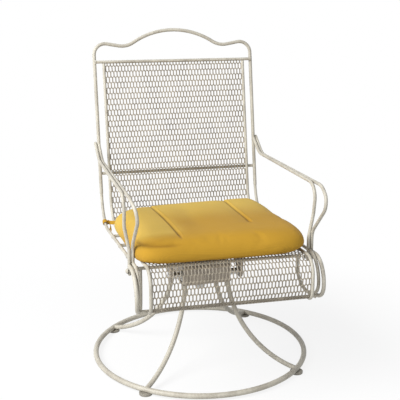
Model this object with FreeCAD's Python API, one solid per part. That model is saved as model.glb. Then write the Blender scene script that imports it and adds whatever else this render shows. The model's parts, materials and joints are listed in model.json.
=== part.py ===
"""Swivel rocking patio armchair of bent steel rod and expanded-metal mesh, with a loose seat cushion.

Millimetres, +Z up. The origin is on the floor under the swivel axis, and the chair faces -Y.
"""
import FreeCAD, Part
import math
import os
from FreeCAD import Vector

# Rod sizes
FRAME_ROD = 11.1            # hoop and scrolls
RAIL_ROD = 9.5
ARM_ROD = 9.5
THIN_ROD = 9.5              # mesh borders and cross rods
RING_ROD = 15.9
LEG_ROD = 14.3

# Base
RING_RADIUS = 325.5
GLIDE_RADIUS = 19.0
GLIDE_HEIGHT = 7.5
GLIDE_SEAT = 1.5            # how deep the ring sinks into a glide
LEG_BEND = 275.0            # a leg is one long arc
LEG_TOP_RADIUS = 95.0       # distance of a leg's upper end from the swivel axis
BASE_TURN = 3.0             # degrees that the base stands turned under the seat
PLATE_HALF = 75.0
PLATE_CORNER = 16.0
PLATE_BOTTOM = 251.0
PLATE_THICK = 6.0

# Swivel hub
HUB_OUTER = 21.0
HUB_BORE = 14.0
HUB_DROP = 20.0             # how far the hub hangs under the plate
BUSH_FLANGE = 17.5
BUSH_FLANGE_THICK = 2.0
BUSH_LENGTH = 11.0
SPINDLE_RADIUS = 11.0
SPINDLE_FIT = 0.06          # radial running clearance
SPINDLE_HEAD = 18.0
SPINDLE_END = 3.0           # how far the spindle passes its nut
SPINDLE_CHAMFER = 1.5
WASHER_RADIUS = 52.0
WASHER_BORE = 18.0
WASHER_THICK = 4.0
NUT_CORNER = 17.0
NUT_THICK = 9.0
SMALL_WASHER = 2.5          # thickness of the spindle's washer and the shaft's
SMALL_WASHER_RADIUS = 19.0
PLAY = 0.1                  # gap between faces that slide past each other, or meet at a weld

# Tilt unit
HOUSING_HALF_X = 72.0
HOUSING_FRONT = -95.0
HOUSING_REAR = 55.0
HOUSING_WALL = 4.0
FLOOR_THICK = 5.0
HOUSING_TOP = 318.0
HOUSING_ROUND = 9.0
SHAFT_Y = -70.0
SHAFT_Z = 283.0
SHAFT_RADIUS = 10.0
SHAFT_HALF = 111.0
ARM_PLATE_IN = 103.0        # inner face of a rocker arm
EYE_RADIUS = 19.0
EYE_TANGENTS = math.radians(-37), math.radians(168)     # where the rear and front edges leave the eye
ROCKER_END = 11.0           # how far a rocker arm passes the seat rods at its ends
ROCKER_EDGE = 20.0          # height of a rocker arm's ends
ROCKER_REAR = (75.0, 42.0)  # points that the curved edges pass, in Y and Z from the shaft
ROCKER_FRONT = (-34.0, 52.0)
ROCKER_HOLE = (22.0, 62.0)
ROCKER_HOLE_RADIUS = 15.0
SHAFT_WASHER = 13.0
SHAFT_CAP = 11.5            # radius of the domed bolt heads on the shaft's ends
SHAFT_CAP_IN = 4.5          # and how far inside the shaft's end the dome is centred
SHAFT_BUSH_WALL = 3.0
RUBBER_HALF = 50.0
RUBBER_HEIGHT = 34.0
RUBBER_FIT = 0.4            # gap between the rubber and the shaft

# Back and seat lines, seen from the side
RECLINE = math.radians(10.67)
POST_X = 262.0
POST_Y = 274.0              # post centre line at the height POST_Z
POST_Z = 440.0
SEAT_RISE = 0.0665          # the seat rises by this much per millimetre forward
SEAT_Y = 126.0              # rail centre line at the height SEAT_Z
SEAT_Z = 373.0
REAR_BEND = 110.0

# Front roll and its side loops
RAIL_FRONT_X = 249.5        # rail centre line where the arms stand on it
ARM_FOOT_Y = -260.0
LOOP_FRONT = -350.0
LOOP_REAR = -239.0
LOOP_RETURN_X = 226.0       # the loop turns in behind the mesh on its way back up to the stretcher
LOOP_BOTTOM = 287.0
LOOP_TOP_BEND = 70.0
LOOP_LOW_BEND = 42.0
LOOP_REAR_BEND = 62.0
STRETCHER_Z = 375.0         # cross rod that the loops' rear ends carry
STRETCHER_HALF = 236.0
SCROLL_OUT = 10.5           # the scroll lies this far outside the rail
SCROLL_DROP = 6.0           # and starts this far under it
SCROLL_FRONT = -363.0
SCROLL_END = (-334.0, 290.0, 1.5)       # Y, Z and distance outside the rail, on the loop's lower bend
ROLL_FRONT = -371.0
ROLL_TOP_BEND = 46.0
ROLL_LOW_BEND = 32.0
ROLL_ROD_Y = -332.0         # the mesh turns under the seat as far as this rod

# Crest of the hoop, in the plane of the back
CREST_TOP = 544.5           # height of the crest above POST_Z, along the back
CREST_BEND = 245.0
CREST_SLOPE = math.radians(32.5)
DIP_X = 155.5               # where the crest's slope would meet the shoulder's
DIP_BEND = 68.0
SHOULDER_SLOPE = math.radians(10.0)
SHOULDER_BEND = 36.0

# Mesh
BORDER_BACK_X = 233.0
BORDER_FRONT_X = 222.0
BORDER_OUT = 6.0            # the mesh stands this far in front of the posts
BORDER_UP = 3.0             # and this far above the rails
BORDER_BEND = 96.0
TOP_ROD_V = 444.0           # height of the top rod along the back
LOWER_ROD_V = 85.5
MESH_THICK = 2.0
MESH_COLUMNS = 14
MESH_ROW = 62.0             # row pitch on the flat stretches
MESH_STRAND = 5.0
MESH_POINT = 0.2            # height of a cell's pointed end, as a share of the cell's
SEAT_ROD_YS = {"seat_rear_rod": 95.0, "seat_mid_rod": -30.0, "seat_front_rod": -155.0}

# Arms
ARM_END_Z = 619.0
ARM_DIP_Y = 235.0
ARM_DIP_Z = 578.0
ARM_DIP_BEND = 90.0
ARM_INNER_X = 261.2
ARM_OUTER_X = 271.2
ARM_FOOT_Z = 369.0
OUTER_END_BACK = 6.0        # the outer rod's upper end lies this far behind the inner one's
OUTER_END_UP = 2.0
LOOPED_DROP = 3.0           # the looped rod runs this much lower than the straight one
NOSE_LEAN = {"right": 7.0, "left": 14.0}    # how far the looped rod's nose leans inwards
BOLT_RADIUS = 3.2
BOLT_HEAD = 8.0
BOLT_HEAD_IN = 1.6          # how far inside the rod's face the domed head is centred
BOLT_END = 1.0              # how far the bolt passes its nut
BOLT_DROP = 21.0            # the arm bolt passes this far under the rail's centre line

# Corners of the scroll below its top one, each as Y, Z, distance outside the rail and bend radius
SCROLL_TOP_BEND = 68.0
SCROLL_LOW = [(SCROLL_FRONT, 316.0, SCROLL_OUT, 45.0), (-352.0, 291.5, 8.0, 25.0)]

# Corners of an arm rod's front end, each as Y, Z and bend radius; the last stands over the foot
STRAIGHT_FRONT = [(-276.0, 588.5, 42.0), (-261.0, 503.0, 80.0), (ARM_FOOT_Y, 436.0, 60.0)]
LOOPED_FRONT = [(-290.0, 589.0, 80.0), (-360.0, 555.0, 32.0), (ARM_FOOT_Y, 450.0, 48.0)]

# Cushion
CUSHION_HALF = 238.0
CUSHION_FRONT = -296.0
CUSHION_REAR = 180.0
CUSHION_SIDE = 48.0         # height of the boxed edge
CUSHION_CROWN = 23.0
CUSHION_BULGE = 9.0
CUSHION_TURN = 2.5          # degrees that the loose cushion lies turned on the seat
CUSHION_SHIFT = -5.0        # and how far it lies to one side
SEAM_LEFT = -125.0
SEAM_RIGHT = 105.0
SEAM_DEPTH = 6.0

# Width, edge height and crown of the cushion, as shares of the full ones, from front to back
CUSHION_STATIONS = [(0.0, 0.955, 0.45, 0.12), (0.035, 0.985, 0.9, 0.5), (0.2, 0.995, 1.0, 0.9),
                    (0.5, 0.985, 1.0, 1.0), (0.8, 0.985, 0.97, 0.85), (0.965, 0.97, 0.85, 0.45),
                    (1.0, 0.94, 0.4, 0.12)]

# Cushion ties
TIE_PLACE = 0.68            # where on the rear bend the tie is wound, as a share of the bend
TIE_RADIUS = 8.0
TIE_HALF = 8.0
TIE_GAP = 0.6
STRAP_HALF = 6.0
STRAP_THICK = 2.4
STRAP_END = (0.93, 4.0, 0.6)    # share of the cushion's half width, depth in it, share of its edge height

parts = {}


def bent_path(points, bends):
    """Straight runs joined by tangent arcs; bends has a radius for each inner point."""
    edges = []

    def run(first, last):
        if (last - first).Length > PLAY:
            edges.append(Part.LineSegment(first, last).toShape())

    start = points[0]
    for before, corner, after, bend in zip(points, points[1:], points[2:], bends):
        back = (before - corner).normalize()
        ahead = (after - corner).normalize()
        half = back.getAngle(ahead) / 2
        reach = bend / math.tan(half)
        middle = corner + (back + ahead).normalize() * (bend / math.sin(half) - bend)
        run(start, corner + back * reach)
        start = corner + ahead * reach
        edges.append(Part.Arc(corner + back * reach, middle, start).toShape())
    run(start, points[-1])
    return Part.Wire(edges)


def rod(points, bends, diameter):
    """Round rod along a bent path."""
    section = Part.Wire(Part.makeCircle(diameter / 2, points[0], points[1] - points[0]))
    return bent_path(points, bends).makePipeShell([section], True, False)


def polygon(points):
    return Part.makePolygon(points + points[:1])


def largest(shape):
    """The main solid that a cut leaves."""
    return max(shape.Solids, key=lambda solid: solid.Volume)


def tube(outer, inner, bottom, top):
    """Upright tube on the swivel axis."""
    body = Part.makeCylinder(outer, top - bottom, Vector(0, 0, bottom))
    return body.cut(Part.makeCylinder(inner, top - bottom, Vector(0, 0, bottom)))


def along_x(radius, start, length, y, z):
    """Cylinder whose axis runs along X."""
    return Part.makeCylinder(radius, length, Vector(start, y, z), Vector(1, 0, 0))


def mirrored(shape):
    return shape.mirror(Vector(0, 0, 0), Vector(1, 0, 0))


def back_point(x, v, out=0.0):
    """Point of the back: v runs up the posts, out towards the sitter."""
    y = POST_Y + v * math.sin(RECLINE) - out * math.cos(RECLINE)
    z = POST_Z + v * math.cos(RECLINE) + out * math.sin(RECLINE)
    return Vector(x, y, z)


def seat_z(y, up=0.0):
    """Height of the rails' centre line, or of a line that lies up above it."""
    return SEAT_Z + (SEAT_Y - y) * SEAT_RISE + up


def seat_corner(out, up):
    """Where the line of the back, moved out, meets the line of the seat, moved up."""
    slope = math.tan(RECLINE)
    shift = out / math.cos(RECLINE)
    y = POST_Y - shift + slope * (SEAT_Z + SEAT_Y * SEAT_RISE + up - POST_Z)
    y /= 1 + slope * SEAT_RISE
    return y, seat_z(y, up)


RAIL_CORNER = seat_corner(0, 0)
BORDER_CORNER = seat_corner(BORDER_OUT, BORDER_UP)
REAR_TURN = math.pi / 2 - RECLINE + math.atan(SEAT_RISE)
POST_FOOT = (RAIL_CORNER[1] - POST_Z) / math.cos(RECLINE) + REAR_BEND * math.tan(REAR_TURN / 2)
UP_BACK = Vector(0, math.sin(RECLINE), math.cos(RECLINE))
OUT_OF_BACK = Vector(0, -math.cos(RECLINE), math.sin(RECLINE))
ALONG_SEAT = Vector(0, -1, SEAT_RISE).normalize()
OUT_OF_SEAT = Vector(0, SEAT_RISE, 1).normalize()


def rail_x(y):
    """The rails draw in a little towards the front."""
    corner = RAIL_CORNER[0]
    return POST_X - (POST_X - RAIL_FRONT_X) * (corner - y) / (corner - ARM_FOOT_Y)


def border_x(y):
    corner = BORDER_CORNER[0]
    share = (corner - y) / (corner - ROLL_FRONT)
    return BORDER_BACK_X - (BORDER_BACK_X - BORDER_FRONT_X) * share


def rail_point(y, z, out=0.0):
    return Vector(rail_x(y) + out, y, z)


def turned(shape, angle):
    return shape.rotated(Vector(0, 0, 0), Vector(0, 0, 1), angle)


def make_base():
    """Ring, flared legs, glides and the plate that the legs carry."""
    ring_z = GLIDE_HEIGHT - GLIDE_SEAT + RING_ROD / 2
    ring = Part.makeTorus(RING_RADIUS, RING_ROD / 2, Vector(0, 0, ring_z))
    parts["base_ring"] = ring
    top = Vector(LEG_TOP_RADIUS, 0, PLATE_BOTTOM)
    foot = Vector(RING_RADIUS, 0, ring_z)
    chord = foot - top
    inward = Vector(0, 1, 0).cross(chord).normalize()
    half_turn = math.asin(chord.Length / 2 / LEG_BEND)
    corner = (top + foot) / 2 + inward * (chord.Length / 2 * math.tan(half_turn))
    leg = rod([top, corner, foot], [LEG_BEND], LEG_ROD)
    above_plate = Part.makeCylinder(4 * LEG_ROD, 2 * LEG_ROD, top)
    leg = largest(leg.cut(ring).cut(above_plate))
    glide = Part.makeCylinder(GLIDE_RADIUS, GLIDE_HEIGHT, Vector(RING_RADIUS, 0, 0))
    glide = glide.makeChamfer(GLIDE_SEAT / 2, [glide.Edges[0], glide.Edges[2]]).cut(ring)
    glides = []
    for name, angle in (("front_left", 225), ("front_right", 315), ("rear_right", 45), ("rear_left", 135)):
        parts["base_leg_" + name] = turned(leg, angle + BASE_TURN)
        glides.append(turned(glide, angle + BASE_TURN))
    parts["foot_glides"] = Part.makeCompound(glides)
    plate = Part.makeBox(2 * PLATE_HALF, 2 * PLATE_HALF, PLATE_THICK,
                         Vector(-PLATE_HALF, -PLATE_HALF, PLATE_BOTTOM))
    upright = [edge for edge in plate.Edges if edge.BoundBox.ZLength > PLATE_THICK / 2]
    plate = plate.makeFillet(PLATE_CORNER, upright)
    hub_hole = Part.makeCylinder(HUB_OUTER, PLATE_THICK, Vector(0, 0, PLATE_BOTTOM))
    parts["base_plate"] = turned(plate.cut(hub_hole), BASE_TURN)


PLATE_TOP = PLATE_BOTTOM + PLATE_THICK
FLOOR_BOTTOM = PLATE_TOP + WASHER_THICK + PLAY / 2
FLOOR_TOP = FLOOR_BOTTOM + FLOOR_THICK


def flanged_bush(flange_bottom, flange_top, barrel_bottom, barrel_top):
    """Bush on the swivel axis, with a flange at one end."""
    bore = SPINDLE_RADIUS + SPINDLE_FIT
    barrel = tube(HUB_BORE, bore, barrel_bottom, barrel_top)
    return barrel.fuse(tube(BUSH_FLANGE, bore, flange_bottom, flange_top)).removeSplitter()


def make_swivel():
    """Hub in the plate, and the spindle that turns in its bushes."""
    hub_bottom = PLATE_BOTTOM - HUB_DROP
    bush_bottom = hub_bottom - BUSH_FLANGE_THICK
    parts["hub_tube"] = tube(HUB_OUTER, HUB_BORE, hub_bottom, PLATE_TOP)
    parts["hub_bush_lower"] = flanged_bush(bush_bottom, hub_bottom, hub_bottom, hub_bottom + BUSH_LENGTH)
    parts["hub_bush_upper"] = flanged_bush(PLATE_TOP, PLATE_TOP + BUSH_FLANGE_THICK,
                                           PLATE_TOP - BUSH_LENGTH, PLATE_TOP)
    parts["thrust_washer"] = tube(WASHER_RADIUS, WASHER_BORE, PLATE_TOP, PLATE_TOP + WASHER_THICK)
    washer_top = bush_bottom - PLAY
    washer_bottom = washer_top - SMALL_WASHER
    nut_bottom = washer_bottom - NUT_THICK
    end = nut_bottom - SPINDLE_END
    spindle = Part.makeCylinder(SPINDLE_RADIUS, FLOOR_TOP - end, Vector(0, 0, end))
    spindle = spindle.makeChamfer(SPINDLE_CHAMFER, [spindle.Edges[2]])
    head = Part.makeCylinder(SPINDLE_HEAD, FLOOR_THICK, Vector(0, 0, FLOOR_TOP))
    parts["swivel_spindle"] = spindle.fuse(head).removeSplitter()
    parts["spindle_washer"] = tube(SMALL_WASHER_RADIUS, SPINDLE_RADIUS, washer_bottom, washer_top)
    parts["spindle_nut"] = hex_nut(NUT_CORNER, SPINDLE_RADIUS, NUT_THICK).translated(Vector(0, 0, nut_bottom))


def hex_nut(corner, bore, thick):
    """Upright hexagonal nut at the origin."""
    angles = [side * math.pi / 3 for side in range(6)]
    points = [Vector(corner * math.cos(angle), corner * math.sin(angle), 0) for angle in angles]
    body = Part.Face(polygon(points)).extrude(Vector(0, 0, thick))
    return body.cut(Part.makeCylinder(bore, thick))


def make_tilt_unit():
    """Housing on the spindle, the cross shaft in it, and the rocker arms on the shaft's ends."""
    depth = HOUSING_REAR - HOUSING_FRONT
    wall = HOUSING_WALL
    corner = Vector(-HOUSING_HALF_X, HOUSING_FRONT, FLOOR_BOTTOM)
    floor = Part.makeBox(2 * HOUSING_HALF_X, depth, FLOOR_THICK, corner)
    spindle_hole = Part.makeCylinder(SPINDLE_RADIUS, FLOOR_THICK, Vector(0, 0, FLOOR_BOTTOM))
    parts["housing_floor"] = floor.cut(spindle_hole)
    corner.z = FLOOR_TOP
    outer = Part.makeBox(2 * HOUSING_HALF_X, depth, HOUSING_TOP - FLOOR_TOP, corner)
    rounded = [edge for edge in outer.Edges if edge.CenterOfMass.z > FLOOR_TOP + PLAY]
    outer = outer.makeFillet(HOUSING_ROUND, rounded)
    inner = Part.makeBox(2 * (HOUSING_HALF_X - wall), depth - 2 * wall, HOUSING_TOP - wall - FLOOR_TOP,
                         corner + Vector(wall, wall, 0))
    bush_radius = SHAFT_RADIUS + SHAFT_BUSH_WALL
    hole = along_x(bush_radius, -HOUSING_HALF_X, 2 * HOUSING_HALF_X, SHAFT_Y, SHAFT_Z)
    parts["tilt_housing"] = outer.cut(inner).cut(hole)
    bore = along_x(SHAFT_RADIUS + SPINDLE_FIT, 0, SHAFT_HALF, SHAFT_Y, SHAFT_Z)
    flange = along_x(bush_radius + SHAFT_BUSH_WALL, HOUSING_HALF_X, SMALL_WASHER, SHAFT_Y, SHAFT_Z)
    bush = along_x(bush_radius, HOUSING_HALF_X - wall, wall, SHAFT_Y, SHAFT_Z)
    bush = bush.fuse(flange).cut(bore).removeSplitter()
    parts["housing_bush_right"] = bush
    parts["housing_bush_left"] = mirrored(bush)
    rubber = Part.makeBox(2 * RUBBER_HALF, 2 * (SHAFT_Y - HOUSING_FRONT - wall), RUBBER_HEIGHT,
                          Vector(-RUBBER_HALF, HOUSING_FRONT + wall, FLOOR_TOP))
    bore = along_x(SHAFT_RADIUS + RUBBER_FIT, -RUBBER_HALF, 2 * RUBBER_HALF, SHAFT_Y, SHAFT_Z)
    parts["torsion_rubber"] = rubber.cut(bore)
    parts["tilt_shaft"] = along_x(SHAFT_RADIUS, -SHAFT_HALF, 2 * SHAFT_HALF, SHAFT_Y, SHAFT_Z)
    arm = rocker_arm()
    parts["rocker_arm_right"] = arm
    parts["rocker_arm_left"] = mirrored(arm)
    washer = along_x(SHAFT_WASHER, SHAFT_HALF, SMALL_WASHER, SHAFT_Y, SHAFT_Z)
    head = Part.makeSphere(SHAFT_CAP, Vector(SHAFT_HALF - SHAFT_CAP_IN, SHAFT_Y, SHAFT_Z))
    head = head.common(along_x(SHAFT_RADIUS, SHAFT_HALF + SMALL_WASHER, SHAFT_RADIUS, SHAFT_Y, SHAFT_Z))
    bolt = washer.fuse(head).removeSplitter()
    parts["shaft_bolts"] = Part.makeCompound([bolt, mirrored(bolt)])


def rod_level(y):
    """Height of a seat cross rod's centre line: it lies under the mesh borders."""
    return seat_z(y, BORDER_UP - THIN_ROD)


def rocker_arm():
    """Plate that rises from the shaft to the three seat rods, which lie in notches in its top edge."""
    front = min(SEAT_ROD_YS.values()) - ROCKER_END
    rear = max(SEAT_ROD_YS.values()) + ROCKER_END
    x = ARM_PLATE_IN

    def from_shaft(y, z):
        return Vector(x, SHAFT_Y + y, SHAFT_Z + z)

    eye_rear, eye_front = [from_shaft(EYE_RADIUS * math.cos(angle), EYE_RADIUS * math.sin(angle))
                           for angle in EYE_TANGENTS]
    front_top, rear_top = [Vector(x, y, rod_level(y)) for y in (front, rear)]
    front_low, rear_low = [corner - Vector(0, 0, ROCKER_EDGE) for corner in (front_top, rear_top)]
    edges = [Part.LineSegment(front_top, rear_top).toShape(),
             Part.LineSegment(rear_top, rear_low).toShape(),
             Part.Arc(rear_low, from_shaft(*ROCKER_REAR), eye_rear).toShape(),
             Part.LineSegment(eye_rear, eye_front).toShape(),
             Part.Arc(eye_front, from_shaft(*ROCKER_FRONT), front_low).toShape(),
             Part.LineSegment(front_low, front_top).toShape()]
    thick = SHAFT_HALF - x
    plate = Part.Face(Part.Wire(edges)).extrude(Vector(thick, 0, 0))
    plate = plate.fuse(along_x(EYE_RADIUS, x, thick, SHAFT_Y, SHAFT_Z)).removeSplitter()
    plate = plate.cut(along_x(SHAFT_RADIUS, x, thick, SHAFT_Y, SHAFT_Z))
    hole = from_shaft(*ROCKER_HOLE)
    plate = plate.cut(along_x(ROCKER_HOLE_RADIUS, x, thick, hole.y, hole.z))
    for y in SEAT_ROD_YS.values():
        plate = plate.cut(along_x(THIN_ROD / 2, x, thick, y, rod_level(y)))
    return plate


def make_hoop():
    """Both posts and the crest, one rod bent in the plane of the back."""
    apex = CREST_TOP + CREST_BEND * (1 / math.cos(CREST_SLOPE) - 1)
    dip = apex - DIP_X * math.tan(CREST_SLOPE)
    shoulder = dip + (POST_X - DIP_X) * math.tan(SHOULDER_SLOPE)
    half = [(POST_X, POST_FOOT), (POST_X, shoulder), (DIP_X, dip)]
    points = [back_point(-x, v) for x, v in half] + [back_point(0, apex)]
    points += [back_point(x, v) for x, v in reversed(half)]
    bends = [SHOULDER_BEND, DIP_BEND, CREST_BEND, DIP_BEND, SHOULDER_BEND]
    parts["back_hoop"] = rod(points, bends, FRAME_ROD)


def make_rails():
    """Side rails: rear bend, seat rail and the loop at the front, which comes back up to a stretcher."""
    stretcher, cope = [along_x(radius, -STRETCHER_HALF, 2 * STRETCHER_HALF, LOOP_REAR, STRETCHER_Z)
                       for radius in (THIN_ROD / 2, THIN_ROD / 2 + PLAY)]
    parts["roll_top_rod"] = stretcher
    rail = rod([back_point(POST_X, POST_FOOT),
                Vector(POST_X, RAIL_CORNER[0], RAIL_CORNER[1]),
                rail_point(LOOP_FRONT, seat_z(LOOP_FRONT)),
                rail_point(LOOP_FRONT, LOOP_BOTTOM),
                Vector(LOOP_RETURN_X, LOOP_REAR, LOOP_BOTTOM),
                Vector(LOOP_RETURN_X, LOOP_REAR, STRETCHER_Z)],
               [REAR_BEND, LOOP_TOP_BEND, LOOP_LOW_BEND, LOOP_REAR_BEND], RAIL_ROD)
    rail = largest(rail.cut(cope))
    parts["side_rail_right"] = rail
    parts["side_rail_left"] = mirrored(rail)
    scroll = front_scroll(rail)
    parts["front_scroll_right"] = scroll
    parts["front_scroll_left"] = mirrored(scroll)


def front_scroll(rail):
    """Scroll from the foot of the arm round the front of the loop, coped to the loop's lower bend."""
    start = ARM_FOOT_Y - ARM_ROD / 2 - 4 * PLAY
    points = [rail_point(y, seat_z(y, -SCROLL_DROP), SCROLL_OUT) for y in (start, SCROLL_FRONT)]
    points += [rail_point(y, z, out) for y, z, out, bend in SCROLL_LOW] + [rail_point(*SCROLL_END)]
    bends = [SCROLL_TOP_BEND] + [bend for y, z, out, bend in SCROLL_LOW]
    return largest(rod(points, bends, FRAME_ROD).cut(rail))


def make_borders():
    """Thin rods along both edges of the mesh, from the top rod to the bottom of the roll."""
    end_y = ROLL_ROD_Y - THIN_ROD / 2 - PLAY
    border = rod([back_point(BORDER_BACK_X, MESH_TOP_V, BORDER_OUT),
                  Vector(BORDER_BACK_X, BORDER_CORNER[0], BORDER_CORNER[1]),
                  Vector(border_x(ROLL_FRONT), ROLL_FRONT, seat_z(ROLL_FRONT, BORDER_UP)),
                  Vector(border_x(ROLL_FRONT), ROLL_FRONT, LOOP_BOTTOM),
                  Vector(border_x(end_y), end_y, LOOP_BOTTOM)],
                 [BORDER_BEND, ROLL_TOP_BEND, ROLL_LOW_BEND], THIN_ROD)
    parts["mesh_border_right"] = border
    parts["mesh_border_left"] = mirrored(border)


def cross_rod(centre, half, neighbours):
    """Thin rod along X whose ends are coped to the rods that carry it."""
    bar = along_x(THIN_ROD / 2, -half, 2 * half, centre.y, centre.z)
    return largest(bar.cut(neighbours))


def make_cross_rods():
    posts = [parts["back_hoop"]]
    rails = [parts["side_rail_left"], parts["side_rail_right"]]
    parts["back_top_rod"] = cross_rod(back_point(0, TOP_ROD_V, BORDER_OUT), POST_X, posts)
    parts["back_lower_rod"] = cross_rod(back_point(0, LOWER_ROD_V, BORDER_OUT - THIN_ROD), POST_X, posts)
    for name, y in SEAT_ROD_YS.items():
        parts[name] = cross_rod(Vector(0, y, rod_level(y)), rail_x(y), rails)
    loops = rails + [parts["front_scroll_left"], parts["front_scroll_right"]]
    parts["roll_bottom_rod"] = cross_rod(Vector(0, ROLL_ROD_Y, LOOP_BOTTOM), rail_x(ROLL_ROD_Y), loops)


MESH_TOP_V = TOP_ROD_V - THIN_ROD / 2 - PLAY
MESH_INSET = THIN_ROD / 2 + PLAY


def row_of_cells(row, row_y, tall, half):
    """Long hexagons of one row of the net, as lists of (x, y); odd rows start and end with half a cell."""
    pitch = 2 * half / MESH_COLUMNS
    wide = (pitch - MESH_STRAND) / 2
    shoulder = tall / 2 - MESH_POINT * (tall + MESH_STRAND)
    rim = half - MESH_STRAND / 2
    cells = []
    if row % 2:
        for side in (-1, 1):
            slope = (tall / 2 - shoulder) / wide
            tip = tall / 2 - slope * (half - rim)
            inner = half - wide
            cells.append([(side * rim, row_y - tip), (side * inner, row_y - shoulder),
                          (side * inner, row_y + shoulder), (side * rim, row_y + tip)])
    count = MESH_COLUMNS - row % 2
    for column in range(count):
        x = (column - (count - 1) / 2) * pitch
        cells.append([(x, row_y - tall / 2), (x + wide, row_y - shoulder), (x + wide, row_y + shoulder),
                      (x, row_y + tall / 2), (x - wide, row_y + shoulder), (x - wide, row_y - shoulder)])
    return cells


def net(origin, along, normal, length, half_start, half_end):
    """Flat sheet with its net of gaps, one holed face made thick; its length runs along."""
    tall = MESH_ROW / (1 - MESH_POINT) - MESH_STRAND
    room = length - 2 * MESH_STRAND - tall
    rows = int(room / MESH_ROW) + 1

    def at(x, y):
        return origin + along * y - normal * (MESH_THICK / 2) + Vector(x, 0, 0)

    wires = [polygon([at(-half_start, 0), at(half_start, 0), at(half_end, length), at(-half_end, length)])]
    for row in range(rows):
        row_y = MESH_STRAND + tall / 2 + row * room / (rows - 1)
        half = half_start + (half_end - half_start) * row_y / length
        for outline in row_of_cells(row, row_y, tall, half):
            wires.append(polygon([at(x, y) for x, y in outline]))
    sheet = Part.Face(wires, "Part::FaceMakerBullseye").extrude(normal * MESH_THICK)
    return sheet, len(wires) - 1


def bent_sheet(path, half):
    """Sheet of the mesh's thickness along a path in the plane X = 0, reaching half to either side."""
    faces = [path.makeOffset2D(offset, 0, False, True) for offset in (MESH_THICK / 2, -MESH_THICK / 2)]
    edges = faces[0].Edges + faces[1].Edges
    ends = [[face.OrderedVertexes[place].Point for place in (0, -1)] for face in faces]
    for first in ends[0]:
        second = min(ends[1], key=first.distanceToPoint)
        edges.append(Part.LineSegment(first, second).toShape())
    profile = Part.Face(Part.Wire(Part.__sortEdges__(edges)))
    return profile.translated(Vector(-half, 0, 0)).extrude(Vector(2 * half, 0, 0))


def make_mesh():
    """Back, rear bend, seat and roll of the mesh, between the border rods."""
    corner = Vector(0, BORDER_CORNER[0], BORDER_CORNER[1])
    reach = BORDER_BEND * math.tan(REAR_TURN / 2)
    bend_top = corner + UP_BACK * reach
    bend_end = corner + ALONG_SEAT * reach
    top = back_point(0, MESH_TOP_V, BORDER_OUT)
    half = BORDER_BACK_X - MESH_INSET
    gaps = {}
    back_length = (top - bend_top).Length
    parts["back_mesh"], gaps["back"] = net(bend_top, UP_BACK, OUT_OF_BACK, back_length, half, half)
    rear_path = bent_path([bend_top, corner, bend_end], [BORDER_BEND])
    parts["rear_bend_mesh"] = bent_sheet(rear_path, border_x(bend_end.y) - MESH_INSET)
    roll_corner = Vector(0, ROLL_FRONT, seat_z(ROLL_FRONT, BORDER_UP))
    roll_turn = math.pi / 2 + math.atan(SEAT_RISE)
    roll_start = roll_corner - ALONG_SEAT * (ROLL_TOP_BEND * math.tan(roll_turn / 2))
    halves = [border_x(end.y) - MESH_INSET for end in (bend_end, roll_start)]
    parts["seat_mesh"], gaps["seat"] = net(bend_end, ALONG_SEAT, OUT_OF_SEAT,
                                           (roll_start - bend_end).Length, *halves)
    low_corner = Vector(0, ROLL_FRONT, LOOP_BOTTOM)
    end = Vector(0, ROLL_ROD_Y - THIN_ROD / 2 - PLAY, LOOP_BOTTOM)
    roll_path = bent_path([roll_start, roll_corner, low_corner, end], [ROLL_TOP_BEND, ROLL_LOW_BEND])
    parts["roll_mesh"] = bent_sheet(roll_path, BORDER_FRONT_X - MESH_INSET)
    print("gaps in the mesh:", gaps, "in all", sum(gaps.values()))


def arm_rod(x, end, front, lean, drop, foot):
    """Arm rod: upper end at the post, dip, top run, then the front's corners down to the foot."""
    points = [end, Vector(x, ARM_DIP_Y, ARM_DIP_Z - drop)]
    points += [Vector(x, y, z) for y, z, bend in front] + [foot]
    points[-3].x -= lean
    points[-2].x = foot.x
    return rod(points, [ARM_DIP_BEND] + [bend for y, z, bend in front], ARM_ROD)


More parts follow.
